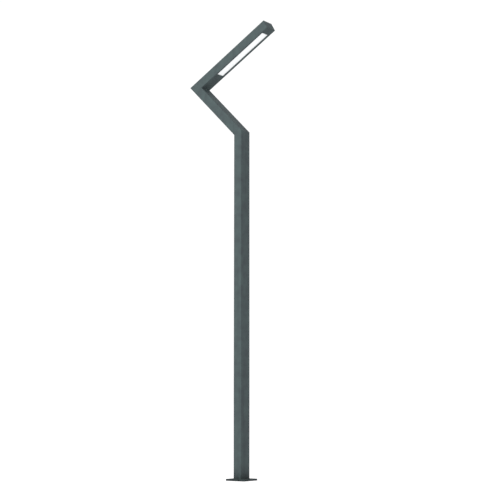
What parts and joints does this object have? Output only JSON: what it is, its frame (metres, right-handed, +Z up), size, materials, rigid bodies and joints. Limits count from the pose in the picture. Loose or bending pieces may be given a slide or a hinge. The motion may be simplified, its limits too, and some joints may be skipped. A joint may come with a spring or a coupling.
{
  "type": "street lamp post",
  "caption": "Zigzag street lamp post of rectangular steel tube on a square base plate, with a recessed light panel in its upper arm and an access door near the foot.",
  "frame": {"origin": "pole's axis at the underside of the base plate, where the foundation's top lies", "axes": "+Z up along the pole; the arms bend in the XZ plane, the lower arm towards -X and the light panel's arm back towards +X; +Y across the light panel; the access door faces -X"},
  "size_m": [0.8557, 0.19, 3.9334],
  "materials": {
    "post_paint": "satin powder coat, basalt grey-green",
    "opal": "opal white, satin",
    "gasket_rubber": "matt",
    "aluminium": "plain anodised",
    "board_white": "white solder mask",
    "zinc_steel": "bright zinc plate",
    "spring_steel": "tempered strip",
    "brass": "machined",
    "dark_plastic": "moulded",
    "grey_plastic": "moulded",
    "driver_white": "moulded",
    "fuse_ceramic": "smooth",
    "cable_black": "matt sheath",
    "earth_green": "green and yellow insulation"
  },
  "bodies": {
    "post": {"base_plate": "post_paint", "pole_shaft": "post_paint", "lower_arm": "post_paint", "upper_arm": "post_paint", "end_cap": "post_paint", "panel_surround": "post_paint", "door_frame": "post_paint", "diffuser": "opal", "diffuser_gasket": "gasket_rubber", "door_gasket": "gasket_rubber", "heat_sink": "aluminium", "led_board_low": "board_white", "led_board_high": "board_white", "end_cap_screw_near": "zinc_steel", "end_cap_screw_far": "zinc_steel", "board_screw_low_a": "zinc_steel", "board_screw_low_b": "zinc_steel", "board_screw_high_a": "zinc_steel", "board_screw_high_b": "zinc_steel", "hinge_leaf_pole_lower": "zinc_steel", "hinge_leaf_pole_upper": "zinc_steel", "hinge_pin_lower": "zinc_steel", "hinge_pin_upper": "zinc_steel", "gear_plate": "zinc_steel", "plate_stud_lower": "zinc_steel", "plate_stud_upper": "zinc_steel", "plate_spacer_lower": "zinc_steel", "plate_spacer_upper": "zinc_steel", "plate_nut_lower": "zinc_steel", "plate_nut_upper": "zinc_steel", "cutout_screw_near": "zinc_steel", "cutout_screw_far": "zinc_steel", "driver_screw_lower": "zinc_steel", "driver_screw_upper": "zinc_steel", "earth_terminal": "zinc_steel", "unit_spring_low": "spring_steel", "unit_spring_high": "spring_steel", "earth_stud": "brass", "earth_washer": "brass", "earth_nut": "brass", "supply_gland_in": "dark_plastic", "supply_gland_out": "dark_plastic", "driver_gland": "dark_plastic", "unit_gland": "dark_plastic", "fuse_cutout": "grey_plastic", "led_driver": "driver_white", "lamp_cable": "cable_black", "driver_lead": "cable_black", "earth_lead": "earth_green"},
    "door": {"access_door": "post_paint", "hinge_leaf_door_lower": "zinc_steel", "hinge_leaf_door_upper": "zinc_steel", "lock_housing": "zinc_steel", "lock_nut": "zinc_steel"},
    "lock": {"lock_plug": "zinc_steel", "lock_cam": "zinc_steel", "cam_screw": "zinc_steel"},
    "carrier": {"fuse_carrier": "dark_plastic", "fuse_link": "fuse_ceramic"}
  },
  "joints": [
    {"name": "door_swing", "type": "hinge", "parent": "post", "child": "door", "pos_m": [-0.045, 0.046, 0.565], "axis": [0, 0, -1], "range_deg": [0, 110]},
    {"name": "lock_turn", "type": "hinge", "parent": "door", "child": "lock", "pos_m": [-0.04, -0.022, 0.565], "axis": [1, 0, 0], "range_deg": [0, 90]},
    {"name": "fuse_pull", "type": "slide", "parent": "post", "child": "carrier", "axis": [-1, 0, 0], "range_m": [0, 0.014]}
  ]
}
